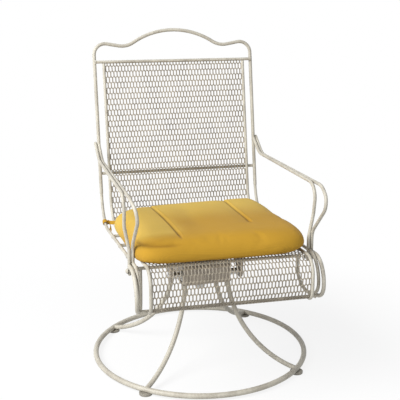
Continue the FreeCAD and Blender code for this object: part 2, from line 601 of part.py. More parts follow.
def make_arms():
    """Two rods on each side; the rod towards +X has the looped front on both arms.

    The inner rod stands on the rail, over a lug. The outer one passes the rail and is bolted to the lug.
    """
    on_rail = Vector(RAIL_FRONT_X, ARM_FOOT_Y, seat_z(ARM_FOOT_Y))
    lug_end = Vector(RAIL_FRONT_X, ARM_FOOT_Y, ARM_FOOT_Z)
    outer_foot = lug_end + Vector((RAIL_ROD + ARM_ROD) / 2 + PLAY, 0, 0)
    on_post = back_point(POST_X, (ARM_END_Z - POST_Z) / math.cos(RECLINE))
    beside_post = on_post + Vector((FRAME_ROD + ARM_ROD) / 2 + PLAY, OUTER_END_BACK, OUTER_END_UP)
    bolt_z = on_rail.z - BOLT_DROP
    inner_face = lug_end.x - ARM_ROD / 2
    outer_face = outer_foot.x + ARM_ROD / 2
    nut_thick = 2 * BOLT_RADIUS
    shank_start = inner_face - nut_thick - BOLT_END
    shank = along_x(BOLT_RADIUS, shank_start, outer_face - shank_start, ARM_FOOT_Y, bolt_z)
    dome = Part.makeSphere(BOLT_HEAD, Vector(outer_face - BOLT_HEAD_IN, ARM_FOOT_Y, bolt_z))
    dome = dome.common(along_x(BOLT_HEAD, outer_face, BOLT_HEAD, ARM_FOOT_Y, bolt_z))
    bolt = shank.fuse(dome).removeSplitter()
    nut = hex_nut(2 * BOLT_RADIUS, BOLT_RADIUS, nut_thick)
    nut.rotate(Vector(0, 0, 0), Vector(0, 1, 0), 90)
    nut.translate(Vector(inner_face - nut_thick, ARM_FOOT_Y, bolt_z))
    rounded_end = Part.makeSphere(ARM_ROD / 2, lug_end)
    lug = Part.makeCylinder(ARM_ROD / 2, on_rail.z - lug_end.z, lug_end).fuse(rounded_end).removeSplitter()
    lug = lug.cut([parts["side_rail_right"], shank])
    rounded_end = Part.makeSphere(ARM_ROD / 2, outer_foot)
    straight = (STRAIGHT_FRONT, 0.0, 0.0)
    for side, lean in NOSE_LEAN.items():
        looped = (LOOPED_FRONT, lean, LOOPED_DROP)
        inner_front, outer_front = (straight, looped) if side == "right" else (looped, straight)
        inner = arm_rod(ARM_INNER_X, on_post, *inner_front, on_rail)
        outer = arm_rod(ARM_OUTER_X, beside_post, *outer_front, outer_foot)
        inner = largest(inner.cut([parts["back_hoop"], parts["side_rail_right"]]))
        outer = outer.fuse(rounded_end).removeSplitter().cut(shank)
        parts["arm_inner_" + side] = inner if side == "right" else mirrored(inner)
        parts["arm_outer_" + side] = outer if side == "right" else mirrored(outer)
    parts["arm_lugs"] = Part.makeCompound([lug, mirrored(lug)])
    parts["arm_bolts"] = Part.makeCompound([bolt, mirrored(bolt)])
    parts["arm_nuts"] = Part.makeCompound([nut, mirrored(nut)])


def arc(start, end, rise):
    """Arc in a plane of constant Y whose middle stands off the chord by rise, up or out."""
    chord = end - start
    off = Vector(chord.z, 0, -chord.x).normalize() * rise
    return Part.Arc(start, (start + end) / 2 + off, end).toShape()


def cushion_section(y, half, side, crown):
    """Outline across the cushion: flat base, bulged sides and three crowned panels between two seams."""
    base = seat_z(y, BORDER_UP + THIN_ROD / 2 + TIE_GAP)
    share = crown / CUSHION_CROWN
    inset = CUSHION_BULGE * min(1.0, side / CUSHION_SIDE)
    seam = base + side + crown - SEAM_DEPTH * share
    edge = half - inset
    corners = [Vector(-edge, y, base), Vector(edge, y, base), Vector(edge, y, base + side),
               Vector(SEAM_RIGHT * half / CUSHION_HALF, y, seam),
               Vector(SEAM_LEFT * half / CUSHION_HALF, y, seam), Vector(-edge, y, base + side)]
    panel = SEAM_DEPTH * share
    return Part.Wire([Part.LineSegment(corners[0], corners[1]).toShape(),
                      arc(corners[1], corners[2], inset),
                      arc(corners[2], corners[3], panel),
                      arc(corners[3], corners[4], panel),
                      arc(corners[4], corners[5], panel),
                      arc(corners[5], corners[0], inset)])


def make_cushion():
    """Boxed seat cushion with a crown, drawn-in ends and two seams from front to back."""
    sections = []
    for place, half, side, crown in CUSHION_STATIONS:
        y = CUSHION_FRONT + place * (CUSHION_REAR - CUSHION_FRONT)
        sections.append(cushion_section(y, CUSHION_HALF * half, CUSHION_SIDE * side, CUSHION_CROWN * crown))
    cushion = Part.makeLoft(sections, True, False)
    middle_y = (CUSHION_FRONT + CUSHION_REAR) / 2
    cushion.rotate(Vector(0, middle_y, seat_z(middle_y)), OUT_OF_SEAT, CUSHION_TURN)
    parts["seat_cushion"] = cushion.translated(Vector(CUSHION_SHIFT, 0, 0))


def make_ties():
    """Fabric ties: a band wound round the rear bend of each rail and a strap to the cushion's corner."""
    corner = Vector(POST_X, RAIL_CORNER[0], RAIL_CORNER[1])
    reach = REAR_BEND * math.tan(REAR_TURN / 2)
    centre = corner + UP_BACK * reach + OUT_OF_BACK * REAR_BEND
    angle = TIE_PLACE * REAR_TURN
    spoke = OUT_OF_BACK * -math.cos(angle) + UP_BACK * -math.sin(angle)
    tangent = UP_BACK * -math.cos(angle) + OUT_OF_BACK * math.sin(angle)
    middle = centre + spoke * REAR_BEND
    bore = Part.makeCylinder(RAIL_ROD / 2 + TIE_GAP, 8 * TIE_HALF, middle - tangent * (4 * TIE_HALF), tangent)
    band = Part.makeCylinder(TIE_RADIUS, 2 * TIE_HALF, middle - tangent * TIE_HALF, tangent)
    strap_start = middle - Vector(TIE_RADIUS - STRAP_THICK / 2, 0, 0)
    across, depth, height = STRAP_END
    strap_end = Vector(CUSHION_HALF * across, CUSHION_REAR - depth,
                       seat_z(CUSHION_REAR, CUSHION_SIDE * height))
    along = strap_end - strap_start
    thin = Vector(0, 0, 1).cross(along).normalize() * (STRAP_THICK / 2)
    tall = along.cross(thin).normalize() * STRAP_HALF
    strap = Part.Face(polygon([strap_start - tall - thin, strap_start + tall - thin,
                               strap_start + tall + thin, strap_start - tall + thin])).extrude(along)
    tie = band.fuse(strap).cut([bore, parts["side_rail_right"], parts["mesh_border_right"]])
    tie = tie.removeSplitter()
    for side, shape in (("right", tie), ("left", mirrored(tie))):
        parts["cushion_tie_" + side] = largest(shape.cut(parts["seat_cushion"]))


make_base()
make_swivel()
make_tilt_unit()
make_hoop()
make_rails()
make_borders()
make_cross_rods()
make_mesh()
make_arms()
make_cushion()
make_ties()
os.makedirs("parts", exist_ok=True)
for node, shape in parts.items():
    shape.exportStep("parts/" + node + ".step")
    print(node, "solids", len(shape.Solids), "valid", shape.isValid(), "volume", round(shape.Volume))
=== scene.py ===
"""Looks of the swivel rocking patio armchair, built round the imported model.

Metres, +Z up. The chair faces -Y, and the origin is on the floor under the swivel axis.
"""
import json
import math

import bmesh
import bpy
import numpy as np
from mathutils import Matrix, Vector


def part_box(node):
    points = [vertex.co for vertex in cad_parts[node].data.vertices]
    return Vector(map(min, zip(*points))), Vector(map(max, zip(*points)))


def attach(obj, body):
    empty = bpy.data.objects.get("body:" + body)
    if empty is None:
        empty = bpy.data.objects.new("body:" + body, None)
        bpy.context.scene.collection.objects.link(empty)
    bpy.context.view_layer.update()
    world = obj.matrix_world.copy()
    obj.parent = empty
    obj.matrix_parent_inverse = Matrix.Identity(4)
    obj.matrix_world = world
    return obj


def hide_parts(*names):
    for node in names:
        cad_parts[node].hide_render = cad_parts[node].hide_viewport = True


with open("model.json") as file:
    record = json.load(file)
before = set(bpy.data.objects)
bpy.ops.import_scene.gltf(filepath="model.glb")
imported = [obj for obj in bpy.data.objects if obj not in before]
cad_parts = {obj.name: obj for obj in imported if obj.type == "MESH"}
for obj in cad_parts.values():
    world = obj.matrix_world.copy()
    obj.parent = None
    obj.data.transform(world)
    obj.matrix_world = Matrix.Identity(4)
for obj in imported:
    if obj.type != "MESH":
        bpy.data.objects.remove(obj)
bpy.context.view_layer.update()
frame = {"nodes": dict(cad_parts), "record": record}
nodes = frame["nodes"]

TINY = 1e-5                 # points nearer than this count as one
MICRONS = 1e6               # in a metre

# Camera, as fitted to the photograph
CAMERA_AT = Vector((-0.584, -2.356, 1.127))
CAMERA_TARGET = Vector((0.0, 0.0, 0.492))
CAMERA_LENS = 75.0
CAMERA_SENSOR = 36.0

# Stage and light
WHITE = (1.0, 1.0, 1.0, 1.0)
FLOOR_RADIUS = 8.0
FLOOR_PALE = (0.55, 0.55, 0.54, 1.0)    # the floor's colour for the light that it sends to the chair
FLOOR_ROUGH = 0.9
FLOOR_MATT = (0.95, 0.95, 0.95, 1.0)    # its colour where the shadow is seen
FLOOR_GLOW = 0.85           # share of the floor's white that no shadow falls on, near the chair
SHADOW_NEAR = 0.40          # distances from the swivel axis between which the shadow fades out
SHADOW_FAR = 1.10
SKY = (0.93, 0.96, 1.0, 1.0)
SKY_STRENGTH = 0.32

# Expanded metal
COLUMNS = 45                # cells across the back
ROW = 0.0177                # height of a row
CELL_POINT = 0.0042         # height of the zigzag between two rows
STRAND = 0.0034             # width of a strand
STRAND_THICK = 0.0014
GAP_SHORTER = 1.1           # how much shorter than its cell a gap is, in strand widths
GAP_POINT = 0.75            # the height of its zigzag, as a share of the cell's
TWIST = 0.0007              # how far a strand's edges stand out of the sheet
SHEET = 0.002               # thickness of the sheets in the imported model

# Cushion
VOXEL = 0.005
SWELL_FRAMES = 20
SWELL_CAP = 0.006           # the most that the swelling moves a point
SWELL_ROOM = 0.004          # the form starts smaller by this much, to leave room for the swelling
CUSHION_SQUARE = 6.0        # power of the plan's rounded square
CUSHION_EDGE = 11.0         # power of the rounded edge: the higher, the tighter
CUSHION_UNDER = 40.0        # and of the edge underneath
CUSHION_TRIM = ((0.000, -0.021), (-0.005, -0.009))  # its low and high (X, Y), from those of its solid
EDGE_BELOW = 0.014          # the rim's height above the seat
EDGE_ABOVE = 0.043          # and how far the top stands above the rim
CUSHION_CROWN = 0.011
REAR_LIFT = 0.016           # the right rear corner rides up the bend of the mesh
SIDE_LIFT = 0.007           # the right edge curls up off the seat
SIDE_LIFT_POWER = 3         # how near the edge that starts: the higher, the nearer
FRONT_SAG = 0.004           # how far the rim hangs lower along the front
FRONT_SAG_POWER = 4
SIDES_IN = 0.006            # how far the sides draw in between the corners
SAG_ROOM = 0.040            # width beside a border rod over which it sags onto the mesh
TIGHT_HEIGHT = 0.016        # height of the lower edge that is drawn tight against the seat

# Its sewn seams, the soft valley between them, and the seam along its front edge, called welt
SEAMS = (((-0.125, 0.165), (-0.121, -0.300)), ((0.114, 0.165), (0.100, -0.205)))
SEAM_ENDS = 0.08            # share of a seam's length over which it fades out at each end
SEAM_DEPTH = 0.0075
SEAM_WIDTH = 0.0035
SEAM_HOLLOW = 0.024         # half width of the soft hollow along a seam
GROOVE_SHARE = 0.7          # shares of the depth in the narrow groove and in the hollow
HOLLOW_SHARE = 0.3
SEAM_LIP = 0.18             # the panel on the right of a seam stands this share of the depth higher
SEAM_SHADE = 0.62           # painted shade: how much darker the fabric is painted in the fold of a seam
FOLD_TINT = (1.0, 1.15, 1.3)    # powers of that shade in red, green and blue
VALLEY = ((-0.030, 0.150), (-0.062, -0.270))
VALLEY_ENDS = 0.3
VALLEY_DEPTH = 0.0035
VALLEY_WIDTH = 0.030
WELT_HEIGHT = 0.047         # above the seat
WELT_ENDS = (-0.235, -0.115)
WELT_FADE = 0.4             # share of its length over which it fades out at its right end
WELT_FRONT = -0.2           # it starts in front of this Y
WELT_FRONT_WIDTH = 0.04
WELT_DEPTH = 0.0022
WELT_WIDTH = 0.0040
WELT_SHADE = 0.45           # painted shade in its fold, against that of a seam
STITCH = 0.0060
STITCH_PITCH = 0.0090
STITCH_RADIUS = 0.0007
STITCH_OFF = 0.0075         # distance of the row of stitches from its seam

# Weld beads
WELD = 0.0022
WELD_RIPPLES = 9
RIPPLE_SHARE = 0.18         # height of a ripple, as a share of the bead
CROSS_RODS = ("back_top_rod", "back_lower_rod", "seat_rear_rod", "seat_mid_rod", "seat_front_rod",
              "roll_top_rod", "roll_bottom_rod")

# Ties
RIBBON = 0.013              # width
RIBBON_THICK = 0.0016
BAND_CORNERS = ((-1, -1), (1, -1), (1, 1), (-1, 1))
RAIL_POINTS = 64            # number of the rail's nearest points that tell where it runs
WINDING_TURNS = 2
WINDING_STEPS = 48
WINDING_SHIFT = 0.45        # how far the winding goes along the rail, in ribbon widths
KNOT_OFF = 0.25             # how far the knot stands off the winding, in ribbon widths
KNOT_RADIUS = 0.3
KNOT_TURNS = (0.0, 1.1)     # how its two loops are turned, in radians
TAIL = 0.034
TAIL_SWAYS = (-0.35, 0.45)  # how far each tail leans, in tail lengths
TAIL_IN = 0.1               # and how far both hang inwards
TAIL_BOW = 0.006
STRAP_SAG = 0.004
STRAP_WIDE = Vector((0.0, 0.25, 1.0))

# Colours, linear
CREAM = (0.585, 0.55, 0.465)
WIPED = (0.37, 0.335, 0.275)
# the mesh's paint is made darker and browner than the frame's cream: painted shade on its strands
MESH_LIGHT = (0.34, 0.295, 0.225)
MESH_DARK = (0.165, 0.14, 0.105)
TAUPE = (0.50, 0.43, 0.345)
TAUPE_WIPED = 0.45                  # how dark the wiped glaze on it is
GOLD = (0.56, 0.31, 0.027)
GOLD_PAINTED_LIGHT = (0.78, 0.53, 0.100)    # painted light: the cushion's colour made paler towards the rear and on the left panel
PAINTED_LIGHT_FROM = -0.16                   # Y between which the painted light grows towards the rear
PAINTED_LIGHT_TO = 0.10
PAINTED_LIGHT_SIDE = -0.08                   # the panel left of this X gets painted light nearly as far as the front edge
PAINTED_LIGHT_SIDE_WIDTH = 0.06
PAINTED_LIGHT_SIDE_FRONT = -0.29
PAINTED_LIGHT_SIDE_SHARE = 0.72
GLAZE_LIGHTEST = 1.06               # how light the lightest paint is
HOLLOW_SHADE = 0.6                  # how dark the paint is made in hollows, found by ambient occlusion
PATCH_SHARE = 0.7                   # share of wide patches in a tone, against fine streaks
SLUB = 0.92                         # how dark the darker threads are
WEAVE_SHADE = 0.12                  # how far the weave darkens the fabric
PAINTED_SHADING_ATTRIBUTE = "painted_light_and_shade"                # colour attribute of the cushion's mesh, holding painted shade in the seam folds and painted light towards the rear and left


# Materials

def scaled(colour, share):
    return tuple(min(1.0, share * value) for value in colour)


def new_material(name):
    """Node material and its main parts."""
    made = bpy.data.materials.new(name)
    made.use_nodes = True
    tree = made.node_tree
    shader = tree.nodes["Principled BSDF"]
    place = tree.nodes.new("ShaderNodeTexCoord").outputs["Object"]
    return made, tree, shader, place


def noise_at(tree, place, scale, detail, stretch=(1.0, 1.0, 1.0)):
    """Noise texture, from 0 to 1, drawn out along the axes whose stretch is small."""
    mapping = tree.nodes.new("ShaderNodeMapping")
    mapping.inputs["Scale"].default_value = stretch
    tree.links.new(place, mapping.inputs["Vector"])
    texture = tree.nodes.new("ShaderNodeTexNoise")
    texture.inputs["Scale"].default_value = scale
    texture.inputs["Detail"].default_value = detail
    tree.links.new(mapping.outputs["Vector"], texture.inputs["Vector"])
    return texture.outputs["Fac"]


def ramp(tree, factor, stops):
    """Colour ramp with stops of (place, colour)."""
    node = tree.nodes.new("ShaderNodeValToRGB")
    elements = node.color_ramp.elements
    while len(elements) < len(stops):
        elements.new(0.5)
    for element, (position, colour) in zip(elements, stops):
        element.position = position
        element.color = (*colour, 1.0)
    tree.links.new(factor, node.inputs["Fac"])
    return node.outputs["Color"]


def grey(tree, factor, low, high, start=0.0, end=1.0):
    """Grey that goes from low to high as the factor goes from start to end."""
    return ramp(tree, factor, [(start, (low,) * 3), (end, (high,) * 3)])


def mixed(tree, factor, first, second, kind="MIX"):
    """Mix of two colours; each is a socket or a plain colour."""
    node = tree.nodes.new("ShaderNodeMix")
    node.data_type = "RGBA"
    node.blend_type = kind
    for name, value in (("Factor", factor), ("A", first), ("B", second)):
        socket = node.inputs[name]
        if isinstance(value, bpy.types.NodeSocket):
            tree.links.new(value, socket)
        elif isinstance(value, float):
            socket.default_value = value
        else:
            socket.default_value = (*value, 1.0)
    return node.outputs["Result"]


def bump(tree, shader, height, strength, distance):
    node = tree.nodes.new("ShaderNodeBump")
    node.inputs["Strength"].default_value = strength
    node.inputs["Distance"].default_value = distance
    tree.links.new(height, node.inputs["Height"])
    tree.links.new(node.outputs["Normal"], shader.inputs["Normal"])


def antique_paint(name, light, dark, hollow):
    """Brushed paint with a darker glaze wiped into streaks, and darker in hollows of a given size, where an
    ambient occlusion node finds them.
    """
    made, tree, shader, place = new_material(name)
    streaks = noise_at(tree, place, scale=160.0, detail=3.0, stretch=(1.0, 1.0, 0.12))
    patches = noise_at(tree, place, scale=22.0, detail=5.0)
    glaze = mixed(tree, PATCH_SHARE, streaks, patches)
    colour = ramp(tree, glaze, [(0.28, dark), (0.58, light), (1.0, scaled(light, GLAZE_LIGHTEST))])
    occlusion = tree.nodes.new("ShaderNodeAmbientOcclusion")
    occlusion.inputs["Distance"].default_value = hollow
    occlusion.samples = 4
    open_share = grey(tree, occlusion.outputs["AO"], 0.0, 1.0, start=0.15, end=0.75)
    hollows_darkened = mixed(tree, open_share, scaled(dark, HOLLOW_SHADE), colour)
    tree.links.new(hollows_darkened, shader.inputs["Base Color"])
    tree.links.new(grey(tree, patches, 0.34, 0.56), shader.inputs["Roughness"])
    bump(tree, shader, streaks, strength=0.06, distance=0.0004)
    return made


def worn_metal(name, light, dark, rough):
    """Bare metal with fine scratches and dull patches."""
    made, tree, shader, place = new_material(name)
    scratches = noise_at(tree, place, scale=420.0, detail=2.0, stretch=(0.08, 1.0, 1.0))
    patches = noise_at(tree, place, scale=40.0, detail=5.0)
    tree.links.new(ramp(tree, patches, [(0.35, dark), (0.65, light)]), shader.inputs["Base Color"])
    tree.links.new(grey(tree, patches, rough - 0.1, rough + 0.12), shader.inputs["Roughness"])
    shader.inputs["Metallic"].default_value = 1.0
    bump(tree, shader, scratches, strength=0.15, distance=0.0003)
    return made


def moulded(name, light, dark, rough):
    """Moulded plastic or rubber with a fine grain."""
    made, tree, shader, place = new_material(name)
    grain = noise_at(tree, place, scale=900.0, detail=2.0)
    patches = noise_at(tree, place, scale=30.0, detail=4.0)
    tree.links.new(ramp(tree, patches, [(0.3, dark), (0.7, light)]), shader.inputs["Base Color"])
    tree.links.new(grey(tree, grain, rough - 0.08, rough + 0.08), shader.inputs["Roughness"])
    bump(tree, shader, grain, strength=0.2, distance=0.0002)
    return made


def woven(name, light, with_painted_light=False):
    """Plain-woven outdoor fabric; the one with painted light is multiplied by the mesh's colour attribute
    of painted shade and painted light.
    """
    made, tree, shader, place = new_material(name)
    threads = []
    for direction in ("X", "Y"):
        wave = tree.nodes.new("ShaderNodeTexWave")
        wave.bands_direction = direction
        wave.inputs["Scale"].default_value = 220.0
        wave.inputs["Distortion"].default_value = 0.6
        wave.inputs["Detail"].default_value = 1.0
        tree.links.new(place, wave.inputs["Vector"])
        threads.append(wave.outputs["Fac"])
    weave = mixed(tree, 0.5, threads[0], threads[1])
    slubs = noise_at(tree, place, scale=300.0, detail=3.0, stretch=(0.4, 1.0, 1.0))
    patches = noise_at(tree, place, scale=9.0, detail=3.0)
    tone = mixed(tree, PATCH_SHARE, slubs, patches)
    colour = ramp(tree, tone, [(0.30, scaled(light, SLUB)), (0.66, light)])
    shaded = mixed(tree, WEAVE_SHADE, colour, mixed(tree, 1.0, colour, weave, "MULTIPLY"))
    if with_painted_light:
        # painted shade and painted light, read from the mesh's colour attribute
        shade = tree.nodes.new("ShaderNodeAttribute")
        shade.attribute_name = PAINTED_SHADING_ATTRIBUTE
        shaded = mixed(tree, 1.0, shaded, shade.outputs["Color"], "MULTIPLY")
    tree.links.new(shaded, shader.inputs["Base Color"])
    tree.links.new(grey(tree, slubs, 0.78, 0.95), shader.inputs["Roughness"])
    shader.inputs["Sheen Weight"].default_value = 0.06
    shader.inputs["Sheen Roughness"].default_value = 0.5
    shader.inputs["Specular IOR Level"].default_value = 0.25
    bump(tree, shader, weave, strength=0.35, distance=0.0006)
    return made


LOOKS = {
    "frame_paint": antique_paint("frame_paint", CREAM, WIPED, hollow=0.012),
    "mesh_paint": antique_paint("mesh_paint", MESH_LIGHT, MESH_DARK, hollow=0.004),
    "mechanism_paint": antique_paint("mechanism_paint", TAUPE, scaled(TAUPE, TAUPE_WIPED), hollow=0.02),
    "bright_steel": worn_metal("bright_steel", (0.56, 0.55, 0.53), (0.36, 0.35, 0.33), rough=0.36),
    "bush_plastic": moulded("bush_plastic", (0.70, 0.68, 0.62), (0.55, 0.53, 0.47), rough=0.5),
    "torsion_rubber": moulded("torsion_rubber", (0.03, 0.03, 0.03), (0.012, 0.012, 0.012), rough=0.7),
    "glide_plastic": moulded("glide_plastic", (0.40, 0.375, 0.32), (0.27, 0.25, 0.21), rough=0.5),
    "cushion_fabric": woven("cushion_fabric", GOLD),
}
# the cushion's fabric, with painted light towards the rear and left and painted shade in the seam folds
PAINTED_LIGHT_FABRIC = woven("cushion_fabric_with_painted_light", GOLD_PAINTED_LIGHT, with_painted_light=True)

for subpart in frame["record"]["subparts"]:
    node = nodes[subpart["node"]]
    node.data.materials.clear()
    node.data.materials.append(LOOKS[subpart["material_slot"]])


# Making pieces

def shade_smooth(mesh):
    mesh.polygons.foreach_set("use_smooth", [True] * len(mesh.polygons))


def finished_mesh(built, name):
    """Mesh from the one being built, which is freed."""
    mesh = bpy.data.meshes.new(name)
    built.to_mesh(mesh)
    built.free()
    return mesh


def add_piece(name, mesh, look, body):
    """New piece with a look that rides on a body."""
    piece = bpy.data.objects.new(name, mesh)
    bpy.context.scene.collection.objects.link(piece)
    mesh.materials.clear()
    mesh.materials.append(LOOKS[look])
    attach(piece, body)
    return piece


def apply_modifiers(piece):
    """Turns what the modifiers show into the piece's own mesh."""
    graph = bpy.context.evaluated_depsgraph_get()
    shaped = bpy.data.meshes.new_from_object(piece.evaluated_get(graph))
    piece.modifiers.clear()
    piece.data = shaped


def subdivide(piece):
    """Subdivides a piece's mesh once, smoothly."""
    finer = piece.modifiers.new("finer", "SUBSURF")
    finer.levels = 1
    finer.render_levels = 1
    apply_modifiers(piece)


# Welds

def bead(built, at, radius, turns=36, sides=8):
    """Rippled ring round a rod that lies along X, added to a mesh being built."""
    rings = []
    for turn in range(turns):
        angle = 2 * math.pi * turn / turns
        out = Vector((0.0, math.cos(angle), math.sin(angle)))
        thick = WELD * (1 + RIPPLE_SHARE * math.cos(WELD_RIPPLES * angle))
        ring = []
        for side in range(sides):
            tilt = 2 * math.pi * side / sides
            aside = Vector((thick * math.sin(tilt), 0.0, 0.0))
            ring.append(built.verts.new(at + out * (radius + thick * math.cos(tilt)) + aside))
        rings.append(ring)
    for turn in range(turns):
        ahead = rings[(turn + 1) % turns]
        for side in range(sides):
            after = (side + 1) % sides
            built.faces.new([rings[turn][side], rings[turn][after], ahead[after], ahead[side]])


def welds():
    """A bead at both ends of each cross rod."""
    built = bmesh.new()
    for rod in CROSS_RODS:
        low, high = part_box(rod)
        middle = (low + high) / 2
        for end in (low.x + WELD, high.x - WELD):
            bead(built, Vector((end, middle.y, middle.z)), (high.z - low.z) / 2)
    bmesh.ops.recalc_face_normals(built, faces=built.faces)
    mesh = finished_mesh(built, "weld_beads")
    shade_smooth(mesh)
    add_piece("weld_beads", mesh, "frame_paint", "seat")


welds()


# Expanded metal

def rod_radius():
    """Radius of the rods along the mesh."""
    low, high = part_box("back_top_rod")
    return (high.z - low.z) / 2


ROD_RADIUS = rod_radius()


def arc_between(start, corner, end, steps=40):
    """Points of the arc that is tangent to both runs of a corner, in (y, z)."""
    back = (start - corner).normalized()
    ahead = (end - corner).normalized()
    half = back.angle(ahead) / 2
    centre = corner + (back + ahead).normalized() * ((start - corner).length / math.cos(half))
    first = start - centre
    turn = math.pi - 2 * half
    turn = turn if first.cross(end - centre) > 0 else -turn
    points = []
    for step in range(steps + 1):
        points.append(centre + Matrix.Rotation(turn * step / steps, 2) @ first)
    return points


def line_crossing(first, along, second, across):
    """Where two lines in a plane meet."""
    share = (second - first).cross(across) / along.cross(across)
    return first + along * share


def net_path():
    """Centre line of the mesh from the top of the back to the bottom of the roll, in (y, z)."""
    low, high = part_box("back_mesh")
    top = Vector((high.y - SHEET / 2, high.z))
    back_end = Vector((low.y + SHEET / 2, low.z))
    low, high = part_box("seat_mesh")
    seat_start = Vector((high.y, low.z + SHEET / 2))
    seat_end = Vector((low.y, high.z - SHEET / 2))
    seat_run = seat_end - seat_start
    low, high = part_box("roll_mesh")
    front = low.y + SHEET / 2
    bottom = low.z + SHEET / 2
    roll_end = Vector((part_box("roll_bottom_rod")[0].y, bottom))
    bend = line_crossing(top, back_end - top, seat_start, seat_run)
    roll_corner = line_crossing(seat_start, seat_run, Vector((front, 0.0)), Vector((0.0, 1.0)))
    roll_top = roll_corner - Vector((0.0, (roll_corner - seat_end).length))
    low_corner = Vector((front, bottom))
    roll_low = low_corner + Vector((0.0, (roll_end - low_corner).length))
    points = [top] + arc_between(back_end, bend, seat_start)
    points += arc_between(seat_end, roll_corner, roll_top)
    return points + arc_between(roll_low, low_corner, roll_end)


NET_PATH = np.array(net_path())


def hexagon(x, s, half_wide, tall, point):
    """Corners of a long hexagon round a place on the sheet."""
    shoulder = tall / 2 - point
    return [(x, s - tall / 2), (x + half_wide, s - shoulder), (x + half_wide, s + shoulder),
            (x, s + tall / 2), (x - half_wide, s + shoulder), (x - half_wide, s - shoulder)]


def expanded_metal():
    """Net of long hexagons, rows offset by half a cell, bent along the path between the border rods."""
    path = NET_PATH
    steps = np.linalg.norm(np.diff(path, axis=0), axis=1)
    places = np.concatenate([[0.0], np.cumsum(steps)])
    tangents = np.gradient(path, places, axis=0)
    tangents /= np.linalg.norm(tangents, axis=1)[:, None]
    ends_y = [path[:, 0].min(), path[:, 0].max()]
    back_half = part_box("mesh_border_right")[1].x - ROD_RADIUS
    front_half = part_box("roll_mesh")[1].x
    pitch = 2 * back_half / COLUMNS
    tall = ROW + CELL_POINT
    built = bmesh.new()
    known = {}

    def vertex(x, s, out):
        """Vertex at x across and s along the sheet, standing out of it; made once."""
        key = (round(x * MICRONS), round(s * MICRONS), out)
        if key not in known:
            inside = min(max(s, 0.0), places[-1])
            y = np.interp(inside, places, path[:, 0])
            z = np.interp(inside, places, path[:, 1])
            ty = np.interp(inside, places, tangents[:, 0])
            tz = np.interp(inside, places, tangents[:, 1])
            half = np.interp(y, ends_y, [front_half, back_half])
            x = min(max(x, -back_half), back_half) * half / back_half
            known[key] = built.verts.new((x, y + out * tz, z - out * ty))
        return known[key]

    for row in range(int(places[-1] / ROW) + 2):
        s = row * ROW
        for column in range(-(COLUMNS // 2) - 1, COLUMNS // 2 + 2):
            x = (column + 0.5 * (row % 2)) * pitch
            if abs(x) > back_half + pitch / 2:
                continue
            rim = [vertex(*corner, 0.0) for corner in hexagon(x, s, pitch / 2, tall, CELL_POINT)]
            gap = hexagon(x, s, (pitch - STRAND) / 2, tall - GAP_SHORTER * STRAND, CELL_POINT * GAP_POINT)
            hole = [vertex(px, ps, math.copysign(TWIST, s - ps)) for px, ps in gap]
            for i in range(len(rim)):
                after = (i + 1) % len(rim)
                corners = [rim[i], rim[after], hole[after], hole[i]]
                if len(set(corners)) == len(corners) and built.faces.get(corners) is None:
                    built.faces.new(corners)
    bmesh.ops.dissolve_degenerate(built, dist=TINY, edges=built.edges)
    bmesh.ops.recalc_face_normals(built, faces=built.faces)
    mesh = finished_mesh(built, "expanded_metal")
    piece = add_piece("expanded_metal", mesh, "mesh_paint", "seat")
    thick = piece.modifiers.new("thickness", "SOLIDIFY")
    thick.thickness = STRAND_THICK
    thick.offset = 0.0
    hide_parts("back_mesh", "rear_bend_mesh", "seat_mesh", "roll_mesh")


expanded_metal()


# Cushion

def seat_plane():
    """Height and slope of the border rods' top, which the cushion rests on."""
    low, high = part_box("seat_mesh")
    slope = (low.z - high.z + SHEET) / (high.y - low.y)
    return high.z - SHEET / 2 - low.y * slope + ROD_RADIUS, slope


SEAT_HEIGHT, SEAT_SLOPE = seat_plane()


def seat_line(y):
    return SEAT_HEIGHT + SEAT_SLOPE * y


def rest_height(x, y):
    """Height that the cushion rests at: the border rods' top at its sides, and the mesh between them."""
    seat = NET_PATH[:np.argmin(NET_PATH[:, 0]) + 1][::-1]
    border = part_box("roll_mesh")[1].x
    beside_rod = np.clip((np.abs(x) - border + SAG_ROOM) / SAG_ROOM, 0, 1)
    return np.interp(y, seat[:, 0], seat[:, 1]) + SHEET + (ROD_RADIUS - SHEET) * beside_rod


def positions(mesh):
    found = np.empty(3 * len(mesh.vertices))
    mesh.vertices.foreach_get("co", found)
    return found.reshape(-1, 3)


def set_positions(mesh, points):
    mesh.vertices.foreach_set("co", points.ravel())
    mesh.update()


def inflate(piece):
    """Swells the cushion by air pressure and keeps each point within the cap of where it started."""
    before = positions(piece.data)
    cloth = piece.modifiers.new("swell", "CLOTH")
    cloth.settings.use_pressure = True
    cloth.settings.uniform_pressure_force = 4.0
    cloth.settings.quality = 5
    cloth.settings.mass = 0.3
    cloth.settings.tension_stiffness = 15.0
    cloth.settings.compression_stiffness = 15.0
    cloth.settings.bending_stiffness = 0.5
    cloth.settings.effector_weights.gravity = 0.0
    cloth.point_cache.frame_end = SWELL_FRAMES
    for step in range(SWELL_FRAMES):
        bpy.context.scene.frame_set(step + 1)
    apply_modifiers(piece)
    bpy.context.scene.frame_set(1)
    moved = positions(piece.data) - before
    length = np.linalg.norm(moved, axis=1)
    share = np.minimum(1.0, SWELL_CAP / np.maximum(length, TINY))
    set_positions(piece.data, before + moved * share[:, None])


def beside(points, line):
    """Distance of points to the right of a line on the seat, and their share of its length."""
    first, last = (np.array(end) for end in line)
    along = last - first
    length = np.linalg.norm(along)
    along /= length
    off = points[:, :2] - first
    return off[:, 1] * along[0] - off[:, 0] * along[1], off @ along / length


def bell(off, width):
    return np.exp(-(off / width) ** 2)


def faded(share, soft):
    """Weight that rises and falls at both ends of a line."""
    return np.clip(share / soft, 0, 1) * np.clip((1 - share) / soft, 0, 1)


